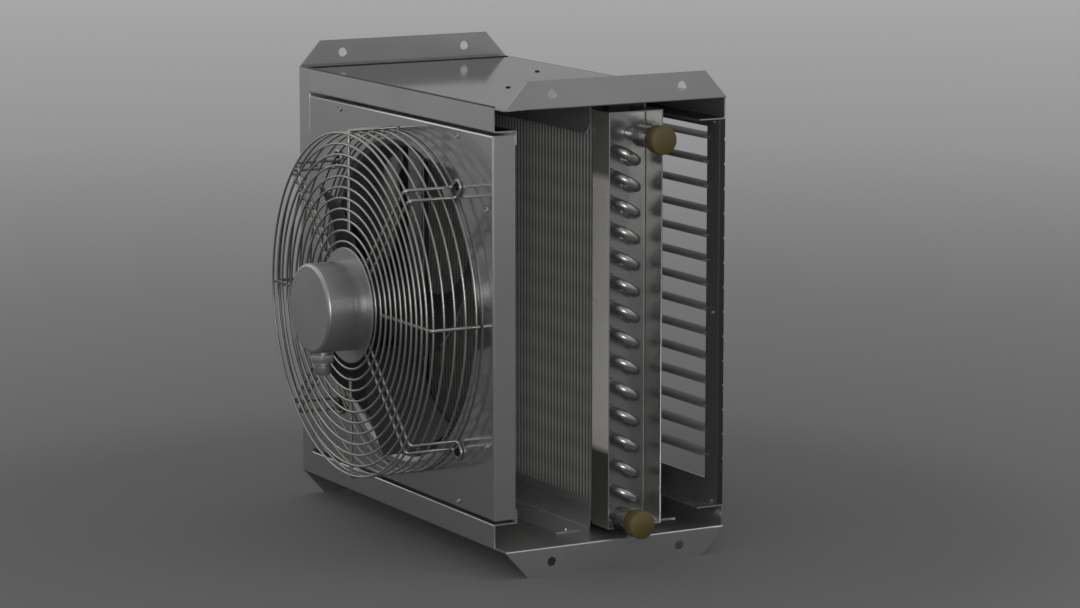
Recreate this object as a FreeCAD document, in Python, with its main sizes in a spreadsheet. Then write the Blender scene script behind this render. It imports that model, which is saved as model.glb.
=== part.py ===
import math
import os

import FreeCAD
import Part
import Sketcher

# Driving sizes in millimetres, X across, Y along the air, Z up, with Y zero on the fan plate
sizes = {
    "casing_width": 520,
    "casing_depth": 284,
    "casing_height": 496,
    "sheet": 1.5,
    "foot_height": 31,
    "foot_chamfer": 28,
    "mount_pitch": 167,
    "mount_radius": 5.5,
    "mount_rise": 15.5,
    "side_return": 27.5,
    "rabbet_depth": 29.5,
    "rabbet_tail": 15,
    "rear_lip": 25.5,
    "rear_fold": 34,
    "weld_flange": 12,
    "seam_gap": 0.3,
    "plate_width": 462.4,
    "plate_height": 434,
    "plate_sheet": 1.2,
    "plate_depth": 28,
    "plate_round": 2.5,
    "orifice_radius": 188,
    "throat_radius": 180,
    "nozzle_depth": 38,
    "nozzle_margin": 1.8,
    "nozzle_sheet": 1.2,
    "ring_first": 74,
    "ring_pitch": 12.5,
    "ring_wire": 2.5,
    "ring_front": -66,
    "side_ring_front": -58,
    "side_ring_pitch": 13.6,
    "spoke_wire": 4.3,
    "spoke_start": 84.5,
    "wire_gap": 0.1,
    "support_wire": 4,
    "support_spacing": 14.5,
    "support_start": 57,
    "support_bend": 4.5,
    "support_clear": 3,
    "eye_reach": 214,
    "clip_depth": 8,
    "motor_front": -115,
    "motor_radius": 52,
    "motor_length": 47.65,
    "motor_round": 3,
    "flange_radius": 67,
    "flange_thick": 2.6,
    "bearing_depth": 40,
    "shaft_radius": 6,
    "shaft_rear": 8,
    "running_gap": 0.05,
    "gland_drop": 78,
    "gland_radius": 10,
    "gland_back": 17,
    "gland_seat": 4,
    "gland_nut_radius": 12.5,
    "gland_nut_height": 9,
    "hub_radius": 52,
    "hub_front": -56,
    "hub_length": 54,
    "hub_wall": 2,
    "boss_radius": 12,
    "boss_length": 34,
    "blade_tip": 176,
    "blade_thick": 2,
    "nut_radius": 9,
    "nut_height": 6,
    "coil_front": 140,
    "coil_depth": 70,
    "coil_bottom": 9,
    "coil_height": 475.5,
    "sheet_reach": 207,
    "sheet_flange": 38,
    "tube_radius": 6,
    "tube_pitch": 30,
    "row_inset": 22,
    "row_gap": 26,
    "front_row_bottom": 19.5,
    "tube_stub": 4,
    "bend_leg": 5,
    "fin_thick": 0.3,
    "fin_pitch": 7.3,
    "fin_inset": 3,
    "rail_length": 16,
    "pipe_reach": 285,
    "brass_radius": 16,
    "brass_length": 17,
    "union_radius": 12.5,
    "union_length": 35,
    "stub_radius": 8,
    "baffle_width": 408,
    "baffle_sheet": 1.2,
    "baffle_foot": 44,
    "baffle_drop": 27,
    "baffle_lip_drop": 10,
    "baffle_lip_lean": 5,
    "frame_setback": 6.4,
    "frame_sheet": 1.2,
    "frame_half_width": 258,
    "frame_band": 25,
    "frame_fold": 30,
    "cheek_reach": 18.4,
    "opening_bottom": 52.7,
    "opening_top": 460,
    "blade_top": 447.6,
    "blade_pitch": 28.3,
    "blade_chord": 30,
    "blade_depth": 5,
    "blade_setout": 1,
    "blade_end_gap": 0.4,
    "pin_radius": 2,
}

ringCount = 11
sideRingCount = 5
ringSides = 36
spokeCount = 4
fanBladeCount = 5
tubeCount = 15
finCount = 55
louvreCount = 14

doc = FreeCAD.newDocument("UnitHeater")
sheet = doc.addObject("Spreadsheet::Sheet", "Sizes")
for row, (name, value) in enumerate(sizes.items(), 1):
    sheet.set("A{}".format(row), name)
    sheet.set("B{}".format(row), str(value))
    sheet.setAlias("B{}".format(row), name)
doc.recompute()

bodies = []
V = FreeCAD.Vector
middle = "(Sizes.foot_height + Sizes.casing_height / 2)"
casingTop = "(Sizes.foot_height + Sizes.casing_height)"
louvrePivot = "(Sizes.casing_depth + Sizes.blade_setout)"
louvreBack = "(Sizes.casing_depth - Sizes.frame_setback + Sizes.cheek_reach)"
unionStart = "(Sizes.pipe_reach - Sizes.brass_length - Sizes.union_length)"


def newBody(name, rise="0", turn=None):
    """A body in the part's frame, raised by an expression and turned by a rotation."""
    body = doc.addObject("PartDesign::Body", name)
    body.Label = name
    body.AllowCompound = True
    if turn is not None:
        body.Placement = FreeCAD.Placement(V(0, 0, 0), turn)
    back = "max({}; {} + Sizes.blade_chord / 2)".format(louvreBack, louvrePivot)
    body.setExpression("Placement.Base.x", "(Sizes.casing_width / 2 - Sizes.pipe_reach) / 2")
    body.setExpression("Placement.Base.y", "-({} + Sizes.motor_front) / 2".format(back))
    body.setExpression("Placement.Base.z", rise)
    bodies.append(body)
    return body


def originPart(body, role):
    return [item for item in body.Origin.OriginFeatures if item.Role == role][0]


def newSketch(body, role, name, level="0"):
    """An empty sketch on an origin plane, moved along X, Y or Z by an expression."""
    sketch = body.newObject("Sketcher::SketchObject", name)
    sketch.AttachmentSupport = [(originPart(body, role), "")]
    sketch.MapMode = "FlatFace"
    sign = "-" if role == "XZ_Plane" else ""
    sketch.setExpression("AttachmentOffset.Base.z", "{}({})".format(sign, level))
    return sketch


def pinPoint(sketch, line, end, across, up):
    for kind, value in (("DistanceX", across), ("DistanceY", up)):
        index = sketch.addConstraint(Sketcher.Constraint(kind, -1, 1, line, end, 1.0))
        sketch.setExpression("Constraints[{}]".format(index), str(value))


def addOutline(sketch, corners):
    """A closed outline whose corners are pairs of expressions."""
    first = sketch.GeometryCount
    count = len(corners)
    angles = [2 * math.pi * step / count for step in range(count)]
    points = [V(10 * math.cos(angle), 10 * math.sin(angle), 0) for angle in angles]
    for step in range(count):
        sketch.addGeometry(Part.LineSegment(points[step], points[(step + 1) % count]))
    for step in range(count):
        following = first + (step + 1) % count
        sketch.addConstraint(Sketcher.Constraint("Coincident", first + step, 2, following, 1))
    for step, (across, up) in enumerate(corners):
        pinPoint(sketch, first + step, 1, across, up)
    return sketch


def addRoute(sketch, corners):
    """An open route whose corners are pairs of expressions."""
    count = len(corners)
    for step in range(count - 1):
        sketch.addGeometry(Part.LineSegment(V(10 * step, 0, 0), V(10 * step + 10, 3, 0)))
    for step in range(count - 2):
        sketch.addConstraint(Sketcher.Constraint("Coincident", step, 2, step + 1, 1))
    for step in range(count - 1):
        pinPoint(sketch, step, 1, corners[step][0], corners[step][1])
    pinPoint(sketch, count - 2, 2, corners[-1][0], corners[-1][1])
    return sketch


def addBox(sketch, left, right, low, high):
    return addOutline(sketch, [(left, low), (right, low), (right, high), (left, high)])


def addCircle(sketch, across, up, radius):
    index = sketch.addGeometry(Part.Circle(V(1, 1, 0), V(0, 0, 1), 5))
    pinPoint(sketch, index, 3, across, up)
    size = sketch.addConstraint(Sketcher.Constraint("Radius", index, 5.0))
    sketch.setExpression("Constraints[{}]".format(size), str(radius))
    return sketch


def addPolygon(sketch, across, up, apothem, sides):
    """A regular polygon given by the distance from its centre to its flats."""
    scale = 1 / math.cos(math.pi / sides)
    corners = []
    for step in range(sides):
        angle = 2 * math.pi * (step + 0.5) / sides
        sideways = scale * math.cos(angle)
        upward = scale * math.sin(angle)
        corners.append(("{} + {} * {:.8f}".format(across, apothem, sideways),
                        "{} + {} * {:.8f}".format(up, apothem, upward)))
    return addOutline(sketch, corners)


def pad(body, sketch, length, toward=1, name="Pad"):
    """Material added along plus or minus X, Y or Z, or to both sides where toward is 0."""
    feature = body.newObject("PartDesign::Pad", name)
    feature.Profile = sketch
    feature.setExpression("Length", length)
    feature.Midplane = toward == 0
    alongMinusY = sketch.AttachmentSupport[0][0].Role == "XZ_Plane"
    feature.Reversed = (toward == -1) != alongMinusY
    return feature


def cutThrough(body, sketch, name="Cut"):
    feature = body.newObject("PartDesign::Pocket", name)
    feature.Profile = sketch
    feature.Type = "ThroughAll"
    feature.Midplane = True
    return feature


def revolve(body, sketch, name="Turned"):
    """One full turn around the body's own Y axis."""
    feature = body.newObject("PartDesign::Revolution", name)
    feature.Profile = sketch
    feature.ReferenceAxis = (originPart(body, "Y_Axis"), [""])
    feature.Angle = 360
    return feature


def repeatLine(body, features, role, pitch, count, name="Row"):
    feature = body.newObject("PartDesign::LinearPattern", name)
    feature.Originals = features
    feature.Direction = (originPart(body, role), [""])
    feature.setExpression("Length", "{} * {}".format(pitch, count - 1))
    feature.Occurrences = count
    body.Tip = feature
    return feature


def repeatTurn(body, features, count, name="Around"):
    feature = body.newObject("PartDesign::PolarPattern", name)
    feature.Originals = features
    feature.Axis = (originPart(body, "Y_Axis"), [""])
    feature.Angle = 360
    feature.Occurrences = count
    body.Tip = feature
    return feature


def mirrorAcross(body, features, role, name="Mirrored"):
    feature = body.newObject("PartDesign::Mirrored", name)
    feature.Originals = features
    feature.MirrorPlane = (originPart(body, role), [""])
    body.Tip = feature
    return feature


def sweep(body, profile, route, name="Wire"):
    feature = body.newObject("PartDesign::AdditivePipe", name)
    feature.Profile = profile
    feature.Spine = (route, ["Edge{}".format(edge + 1) for edge in range(route.GeometryCount)])
    feature.Transition = "Right corner"
    return feature


def makePanel(name, rise, turn):
    """Top or bottom panel: plate, two drilled flanges, front rabbet and rear lip."""
    body = newBody(name, rise, turn)
    half = "Sizes.casing_width / 2"
    depth = "Sizes.casing_depth"
    plate = newSketch(body, "XY_Plane", "PlateOutline")
    addBox(plate, "-" + half, half, "0", depth)
    pad(body, plate, "Sizes.sheet", -1, "Plate")
    flange = newSketch(body, "YZ_Plane", "FlangeOutline", half + " - Sizes.sheet")
    addOutline(flange, [
        ("0", "-Sizes.sheet"),
        (depth, "-Sizes.sheet"),
        (depth, "0"),
        (depth + " - Sizes.foot_chamfer", "Sizes.foot_height"),
        ("Sizes.foot_chamfer", "Sizes.foot_height"),
        ("0", "0"),
    ])
    for sign in "-+":
        place = "{} / 2 {} Sizes.mount_pitch / 2".format(depth, sign)
        addCircle(flange, place, "Sizes.mount_rise", "Sizes.mount_radius")
    side = pad(body, flange, "Sizes.sheet", 1, "Flange")
    mirrorAcross(body, [side], "YZ_Plane", "OtherFlange")
    rabbet = newSketch(body, "YZ_Plane", "RabbetOutline")
    ledge = "-Sizes.side_return"
    deep = "Sizes.rabbet_depth"
    addOutline(rabbet, [
        ("0", "-Sizes.sheet"),
        ("0", ledge),
        (deep + " - Sizes.sheet", ledge),
        (deep + " - Sizes.sheet", ledge + " - Sizes.rabbet_tail"),
        (deep, ledge + " - Sizes.rabbet_tail"),
        (deep, ledge + " + Sizes.sheet"),
        ("Sizes.sheet", ledge + " + Sizes.sheet"),
        ("Sizes.sheet", "-Sizes.sheet"),
    ])
    pad(body, rabbet, "Sizes.casing_width - 2 * Sizes.side_return", 0, "Rabbet")
    lip = newSketch(body, "YZ_Plane", "RearLipOutline")
    addOutline(lip, [
        (depth, "-Sizes.sheet"),
        (depth, "-Sizes.rear_lip"),
        (depth + " - Sizes.rear_fold", "-Sizes.rear_lip"),
        (depth + " - Sizes.rear_fold", "-Sizes.rear_lip + Sizes.sheet"),
        (depth + " - Sizes.sheet", "-Sizes.rear_lip + Sizes.sheet"),
        (depth + " - Sizes.sheet", "-Sizes.sheet"),
    ])
    body.Tip = pad(body, lip, "Sizes.casing_width - 2 * Sizes.sheet - 2 * Sizes.seam_gap", 0, "RearLip")


def makeSidePanel():
    """The closed side: web, front return, rabbet ledge and weld flanges."""
    low = "Sizes.foot_height + Sizes.sheet"
    tall = "Sizes.casing_height - 2 * Sizes.sheet"
    outer = "-Sizes.casing_width / 2"
    edge = "-Sizes.casing_width / 2 + Sizes.side_return"
    body = newBody("left_side_panel")
    profile = newSketch(body, "XY_Plane", "PanelProfile", low)
    addOutline(profile, [
        (outer, "0"),
        (edge, "0"),
        (edge, "Sizes.rabbet_depth"),
        (edge + " - Sizes.sheet", "Sizes.rabbet_depth"),
        (edge + " - Sizes.sheet", "Sizes.sheet"),
        (outer + " + Sizes.sheet", "Sizes.sheet"),
        (outer + " + Sizes.sheet", "Sizes.casing_depth"),
        (outer, "Sizes.casing_depth"),
    ])
    pad(body, profile, tall, 1, "Panel")
    shorten = "(Sizes.side_return + Sizes.rabbet_tail + Sizes.seam_gap)"
    tail = newSketch(body, "XY_Plane", "TailProfile", "Sizes.foot_height + " + shorten)
    addBox(tail, edge, edge + " + Sizes.rabbet_tail",
           "Sizes.rabbet_depth - Sizes.sheet", "Sizes.rabbet_depth")
    pad(body, tail, "Sizes.casing_height - 2 * " + shorten, 1, "Tail")
    for name, level, toward in (("FootFlange", low, 1), ("HeadFlange", low + " + " + tall, -1)):
        flange = newSketch(body, "XY_Plane", name + "Outline", level)
        addBox(flange, outer + " + Sizes.sheet", outer + " + Sizes.sheet + Sizes.weld_flange",
               "Sizes.rabbet_depth + Sizes.rabbet_tail",
               "Sizes.casing_depth - Sizes.rear_fold - Sizes.rabbet_tail")
        pad(body, flange, "Sizes.sheet", toward, name)


def makeFanPlate():
    """The fan plate: a shallow tray with a rounded front and the round orifice."""
    body = newBody("fan_plate", middle)
    outline = newSketch(body, "XZ_Plane", "TrayOutline")
    addBox(outline, "-Sizes.plate_width / 2", "Sizes.plate_width / 2",
           "-Sizes.plate_height / 2", "Sizes.plate_height / 2")
    tray = pad(body, outline, "Sizes.plate_depth", 1, "Tray")
    doc.recompute()
    front = min(range(len(tray.Shape.Faces)), key=lambda i: tray.Shape.Faces[i].CenterOfMass.y)
    rounding = body.newObject("PartDesign::Fillet", "FrontRounding")
    rounding.Base = (tray, ["Face{}".format(front + 1)])
    rounding.setExpression("Radius", "Sizes.plate_round")
    rear = newSketch(body, "XZ_Plane", "HollowOutline", "Sizes.plate_depth")
    inner = " / 2 - Sizes.plate_sheet"
    addBox(rear, "-(Sizes.plate_width" + inner + ")", "Sizes.plate_width" + inner,
           "-(Sizes.plate_height" + inner + ")", "Sizes.plate_height" + inner)
    hollow = body.newObject("PartDesign::Pocket", "Hollow")
    hollow.Profile = rear
    hollow.setExpression("Length", "Sizes.plate_depth - Sizes.plate_sheet")
    hollow.Reversed = True
    orifice = newSketch(body, "XZ_Plane", "OrificeOutline")
    addCircle(orifice, "0", "0", "Sizes.orifice_radius")
    body.Tip = cutThrough(body, orifice, "Orifice")


def makeInletNozzle():
    """The bell mouth behind the orifice, with its flange against the fan plate."""
    body = newBody("inlet_nozzle", middle)
    start = "Sizes.plate_sheet"
    margin = "- Sizes.plate_sheet - Sizes.nozzle_margin"
    flange = newSketch(body, "XZ_Plane", "FlangeOutline", start)
    wide = "(Sizes.plate_width / 2 {})".format(margin)
    tall = "(Sizes.plate_height / 2 {})".format(margin)
    addBox(flange, "-" + wide, wide, "-" + tall, tall)
    addCircle(flange, "0", "0", "Sizes.orifice_radius - 0.5 * Sizes.nozzle_sheet")
    pad(body, flange, "Sizes.nozzle_sheet", 1, "Flange")
    fall = "(Sizes.orifice_radius - Sizes.throat_radius)"
    thick = "Sizes.nozzle_sheet"
    inner = []
    outer = []
    for angle in (0, 45, 90):
        across = 1 - math.sin(math.radians(angle))
        along = 1 - math.cos(math.radians(angle))
        inner.append(("Sizes.throat_radius + {} * {:.6f}".format(fall, across),
                      "{} + {} * {:.6f}".format(start, fall, along)))
        outer.append(("Sizes.throat_radius + {0} + ({1} - {0}) * {2:.6f}".format(thick, fall, across),
                      "{0} + {1} + ({2} - {1}) * {3:.6f}".format(start, thick, fall, along)))
    end = "{} + Sizes.nozzle_depth".format(start)
    profile = newSketch(body, "XY_Plane", "BellProfile")
    corners = inner + [("Sizes.throat_radius", end), ("Sizes.throat_radius + " + thick, end)]
    addOutline(profile, corners + outer[::-1])
    body.Tip = revolve(body, profile, "Bell")


def makeGuardRings():
    """Concentric wire rings in front of the orifice and the rings around the sides."""
    front = newBody("guard_front_rings", middle)
    level = "Sizes.ring_front - Sizes.ring_wire / 2"
    for number in range(ringCount):
        radius = "(Sizes.ring_first + {} * Sizes.ring_pitch)".format(number)
        rings = newSketch(front, "XZ_Plane", "RingOutline{}".format(number + 1), level)
        addPolygon(rings, "0", "0", "({} + Sizes.ring_wire / 2)".format(radius), ringSides)
        addPolygon(rings, "0", "0", "({} - Sizes.ring_wire / 2)".format(radius), ringSides)
        front.Tip = pad(front, rings, "Sizes.ring_wire", 1, "Ring{}".format(number + 1))
    side = newBody("guard_side_rings", middle)
    last = "(Sizes.ring_first + {} * Sizes.ring_pitch)".format(ringCount - 1)
    outline = newSketch(side, "XZ_Plane", "RingOutline", "Sizes.side_ring_front - Sizes.ring_wire / 2")
    addPolygon(outline, "0", "0", "({} + Sizes.ring_wire / 2)".format(last), ringSides)
    addPolygon(outline, "0", "0", "({} - Sizes.ring_wire / 2)".format(last), ringSides)
    ring = pad(side, outline, "Sizes.ring_wire", 1, "Ring")
    repeatLine(side, [ring], "Y_Axis", "Sizes.side_ring_pitch", sideRingCount, "SideRings")


def bentCorner(acrossStart, alongStart, radius, acrossSign, first):
    """Corners of a quarter bend in the XY plane, from along X to along Y or back."""
    corners = []
    for angle in (0, 45, 90):
        sine = math.sin(math.radians(angle))
        rest = 1 - math.cos(math.radians(angle))
        across, along = (sine, rest) if first == "X" else (rest, sine)
        corners.append(("{} + {} * {:.6f}".format(acrossStart, radius, acrossSign * across),
                        "{} + {} * {:.6f}".format(alongStart, radius, along)))
    return corners


def makeGuardSpokes():
    """Four single wires behind the front rings and outside the side rings."""
    body = newBody("guard_spokes", middle)
    wire = "(Sizes.spoke_wire / 2)"
    outside = "(Sizes.ring_first + {} * Sizes.ring_pitch + Sizes.ring_wire / 2 + {} + Sizes.wire_gap)"
    reach = outside.format(ringCount - 1, wire)
    level = "(Sizes.ring_front + Sizes.ring_wire / 2 + {} + Sizes.wire_gap)".format(wire)
    bend = "(Sizes.spoke_wire / 2 + 0.5)"
    route = newSketch(body, "XY_Plane", "Route")
    corners = [("Sizes.spoke_start", level)]
    corners += bentCorner(reach + " - " + bend, level, bend, 1, "X")
    corners.append((reach, "-{}".format(wire)))
    addRoute(route, corners)
    profile = newSketch(body, "YZ_Plane", "Section", "Sizes.spoke_start")
    addPolygon(profile, level, "0", wire, 8)
    repeatTurn(body, [sweep(body, profile, route)], spokeCount, "Spokes")


def makeGuardSupports():
    """Four doubled wires behind the front rings, each ending in an eye on the fan plate."""
    turn = FreeCAD.Rotation(V(0, 1, 0), 45)
    body = newBody("guard_supports", middle, turn)
    wire = "(Sizes.support_wire / 2)"
    apart = "(Sizes.support_spacing / 2)"
    level = "(Sizes.ring_front + Sizes.ring_wire / 2 + {} + Sizes.wire_gap)".format(wire)
    outside = "((Sizes.ring_first + {} * Sizes.ring_pitch + Sizes.ring_wire / 2)".format(ringCount - 1)
    bend = "Sizes.support_bend"
    reach = outside + " * {:.6f} + Sizes.support_clear)".format(1 / math.cos(math.pi / ringSides))
    corners = [("Sizes.support_start", level)]
    corners += bentCorner(reach + " - " + bend, level, bend, 1, "X")
    corners += bentCorner(reach, "-{} - {}".format(wire, bend), bend, 1, "Y")
    corners.append(("Sizes.eye_reach", "-" + wire))
    arms = []
    for sign in ("", "-"):
        route = addRoute(newSketch(body, "XY_Plane", "Route", sign + apart), corners)
        profile = newSketch(body, "YZ_Plane", "Section", "Sizes.support_start")
        addPolygon(profile, level, sign + apart, wire, 8)
        arms.append(sweep(body, profile, route, "Arm"))
    loop = newSketch(body, "XZ_Plane", "EyeRoute", "-" + wire)
    turnCorners = [("Sizes.eye_reach - 1", apart)]
    for angle in (90, 45, 0, -45, -90):
        sine = math.sin(math.radians(angle))
        cosine = math.cos(math.radians(angle))
        turnCorners.append(("Sizes.eye_reach + {} * {:.6f}".format(apart, cosine),
                            "{} * {:.6f}".format(apart, sine)))
    turnCorners.append(("Sizes.eye_reach - 1", "-" + apart))
    addRoute(loop, turnCorners)
    start = newSketch(body, "YZ_Plane", "EyeSection", "Sizes.eye_reach - 1")
    addPolygon(start, "-" + wire, apart, wire, 8)
    eye = sweep(body, start, loop, "Eye")
    repeatTurn(body, arms + [eye], spokeCount, "Supports")
    clips = newBody("guard_clips", middle, turn)
    spread = "(Sizes.support_spacing / 2 - {})".format(wire)
    outline = newSketch(clips, "YZ_Plane", "ClipOutline", reach)
    addBox(outline, "-Sizes.clip_depth - 2 * Sizes.support_wire", "-2 * Sizes.support_wire",
           "-" + spread, spread)
    clip = pad(clips, outline, "Sizes.support_wire / 2", 0, "Clip")
    repeatTurn(clips, [clip], spokeCount, "Clips")


def addTurnedSolid(name, corners, rise=middle):
    """A body turned around the fan axis from radius and distance pairs."""
    body = newBody(name, rise)
    profile = newSketch(body, "XY_Plane", "Profile")
    addOutline(profile, corners)
    body.Tip = revolve(body, profile)
    return body


def makeMotor():
    """Fixed half of the closed motor: housing, flange with the shaft's bore, cable gland."""
    front = "Sizes.motor_front"
    back = "(Sizes.motor_front + Sizes.motor_length)"
    bore = "(Sizes.shaft_radius + Sizes.running_gap)"
    addTurnedSolid("motor_housing", [
        ("0", front),
        ("Sizes.motor_radius - Sizes.motor_round", front),
        ("Sizes.motor_radius", front + " + Sizes.motor_round"),
        ("Sizes.motor_radius", back),
        (bore, back),
        (bore, back + " - Sizes.bearing_depth"),
        ("0", back + " - Sizes.bearing_depth"),
    ])
    addTurnedSolid("motor_flange", [
        (bore, back),
        ("Sizes.flange_radius", back),
        ("Sizes.flange_radius", back + " + Sizes.flange_thick"),
        (bore, back + " + Sizes.flange_thick"),
    ])
    place = "(Sizes.motor_front + Sizes.gland_back)"
    gland = newBody("cable_gland", middle)
    stem = newSketch(gland, "XY_Plane", "StemOutline", "-Sizes.gland_drop")
    addCircle(stem, "0", place, "Sizes.gland_radius")
    pad(gland, stem, "Sizes.gland_drop - Sizes.motor_radius + Sizes.gland_seat", 1, "Stem")
    nut = newBody("gland_nut", middle)
    outline = newSketch(nut, "XY_Plane", "NutOutline", "-Sizes.motor_radius - 2 - Sizes.gland_nut_height")
    addPolygon(outline, "0", place, "Sizes.gland_nut_radius", 6)
    addCircle(outline, "0", place, "Sizes.gland_radius")
    pad(nut, outline, "Sizes.gland_nut_height", 1, "Nut")


def makeRotor():
    """Turning half: shaft, fan hub with its blades, and the hub nut."""
    end = "Sizes.motor_front + Sizes.motor_length - Sizes.bearing_depth + Sizes.seam_gap"
    addTurnedSolid("motor_shaft", [
        ("0", end),
        ("Sizes.shaft_radius", end),
        ("Sizes.shaft_radius", "Sizes.shaft_rear"),
        ("0", "Sizes.shaft_rear"),
    ])
    makeImpeller()
    nut = newBody("hub_nut", middle)
    outline = newSketch(nut, "XZ_Plane", "NutOutline", "Sizes.hub_front + Sizes.boss_length")
    addPolygon(outline, "0", "0", "Sizes.nut_radius", 6)
    addCircle(outline, "0", "0", "Sizes.shaft_radius")
    pad(nut, outline, "Sizes.nut_height", 1, "Nut")


def makeImpeller():
    """Hub cup with five swept blades, trimmed to a round tip."""
    front = "Sizes.hub_front"
    wall = "Sizes.hub_wall"
    body = addTurnedSolid("impeller", [
        ("Sizes.shaft_radius", front),
        ("Sizes.hub_radius - 2 * " + wall, front),
        ("Sizes.hub_radius", front + " + 2 * " + wall),
        ("Sizes.hub_radius", front + " + Sizes.hub_length"),
        ("Sizes.hub_radius - " + wall, front + " + Sizes.hub_length"),
        ("Sizes.hub_radius - " + wall, front + " + 2 * " + wall),
        ("Sizes.boss_radius", front + " + 2 * " + wall),
        ("Sizes.boss_radius", front + " + Sizes.boss_length"),
        ("Sizes.shaft_radius", front + " + Sizes.boss_length"),
    ])
    stations = []
    for number, (share, sweepShift, halfChord, pitch) in enumerate(bladeStations):
        radius = "Sizes.hub_radius - 1 + {} * (Sizes.blade_tip - Sizes.hub_radius + 4)".format(share)
        section = newSketch(body, "YZ_Plane", "BladeSection{}".format(number + 1), radius)
        addOutline(section, bladeSection(sweepShift, halfChord, pitch))
        stations.append(section)
    blade = body.newObject("PartDesign::AdditiveLoft", "Blade")
    blade.Profile = stations[0]
    blade.Sections = stations[1:]
    blade.Ruled = True
    repeatTurn(body, [blade], fanBladeCount, "Blades")
    rim = newSketch(body, "XZ_Plane", "TipTrim", "-200")
    addCircle(rim, "0", "0", "Sizes.blade_tip")
    addCircle(rim, "0", "0", "Sizes.blade_tip + 60")
    body.Tip = cutThrough(body, rim, "RoundTips")


# Share of the span, shift along the turn, half chord and pitch angle of each blade section
bladeStations = [
    (0.0, 0, 31, 48),
    (0.5, -8, 42, 34),
    (1.0, 26, 54, 25),
]
bladeMiddle = -14


def bladeSection(shift, halfChord, pitch):
    """A cambered plate section of even thickness across one blade."""
    sine = math.sin(math.radians(pitch))
    cosine = math.cos(math.radians(pitch))
    corners = []
    for side in (1, -1):
        for along in (-1, 0, 1)[::side]:
            camber = 0.1 * halfChord * (1 - along * along)
            step = along * halfChord
            corners.append(("{:.4f} + Sizes.blade_thick * {:.4f}".format(
                bladeMiddle + step * sine + camber * cosine, side * 0.5 * cosine),
                "{:.4f} + Sizes.blade_thick * {:.4f}".format(
                shift + step * cosine - camber * sine, -side * 0.5 * sine)))
    return corners


def makeCoil():
    """Tube sheets, serpentine tubes with return bends, fins and support rails."""
    bottom = "(Sizes.foot_height + Sizes.coil_bottom)"
    reach = "Sizes.sheet_reach"
    back = "(Sizes.coil_front + Sizes.coil_depth)"
    for sheetName, sign in (("near_tube_sheet", ""), ("far_tube_sheet", "-")):
        body = newBody(sheetName)
        profile = newSketch(body, "XY_Plane", "ChannelProfile", bottom)
        web = "{}({})".format(sign, reach)
        skin = "{}({} + Sizes.sheet)".format(sign, reach)
        edge = "{}({} + Sizes.sheet_flange)".format(sign, reach)
        addOutline(profile, [
            (web, "Sizes.coil_front"),
            (edge, "Sizes.coil_front"),
            (edge, "Sizes.coil_front + Sizes.sheet"),
            (skin, "Sizes.coil_front + Sizes.sheet"),
            (skin, back + " - Sizes.sheet"),
            (edge, back + " - Sizes.sheet"),
            (edge, back),
            (web, back),
        ])
        pad(body, profile, "Sizes.coil_height", 1, "Channel")
        lid = newSketch(body, "XY_Plane", "LidOutline", bottom + " + Sizes.coil_height - Sizes.sheet")
        addBox(lid, web, edge, "Sizes.coil_front", back)
        pad(body, lid, "Sizes.sheet", 1, "Lid")
        notch = "{}({} - 1)".format(sign, unionStart)
        row = "Sizes.coil_front + Sizes.row_inset {} (Sizes.union_radius + 1)"
        foot = newSketch(body, "XY_Plane", "FootOutline", bottom)
        addOutline(foot, [
            (web, "Sizes.coil_front"),
            (edge, "Sizes.coil_front"),
            (edge, row.format("-")),
            (notch, row.format("-")),
            (notch, row.format("+")),
            (edge, row.format("+")),
            (edge, back),
            (web, back),
        ])
        pad(body, foot, "Sizes.sheet", 1, "Foot")
    frontRow = "(Sizes.coil_front + Sizes.row_inset)"
    lowest = "(Sizes.foot_height + Sizes.front_row_bottom)"
    tubes = newBody("coil_tubes")
    outline = newSketch(tubes, "YZ_Plane", "TubeOutline")
    addPolygon(outline, frontRow, lowest, "Sizes.tube_radius", 8)
    addPolygon(outline, frontRow + " + Sizes.row_gap", lowest + " + Sizes.tube_pitch / 2",
               "Sizes.tube_radius", 8)
    pair = pad(tubes, outline, "2 * (Sizes.sheet_reach + Sizes.sheet + Sizes.tube_stub)", 0, "Pair")
    repeatLine(tubes, [pair], "Z_Axis", "Sizes.tube_pitch", tubeCount, "Rows")
    makeReturnBends("near_return_bends", 1, tubeCount - 1)
    makeReturnBends("far_return_bends", -1, tubeCount)
    fins = newBody("coil_fins")
    face = newSketch(fins, "YZ_Plane", "FinOutline", "-Sizes.fin_pitch * {}".format((finCount - 1) / 2))
    addBox(face, "Sizes.coil_front + Sizes.fin_inset", back + " - Sizes.fin_inset",
           bottom, bottom + " + Sizes.coil_height")
    fin = pad(fins, face, "Sizes.fin_thick", 1, "Fin")
    repeatLine(fins, [fin], "X_Axis", "Sizes.fin_pitch", finCount, "Fins")
    rails = newBody("coil_rails")
    floor = "Sizes.foot_height + Sizes.sheet"
    roof = casingTop + " - Sizes.sheet"
    outline = newSketch(rails, "YZ_Plane", "RailOutline", reach + " - Sizes.rail_length")
    near = "Sizes.coil_front + Sizes.row_inset"
    addBox(outline, near, near + " + Sizes.row_gap", floor, bottom)
    addBox(outline, near, near + " + Sizes.row_gap", bottom + " + Sizes.coil_height", roof)
    rail = pad(rails, outline, "Sizes.rail_length", 1, "Rail")
    mirrorAcross(rails, [rail], "YZ_Plane", "OtherRails")


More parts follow.
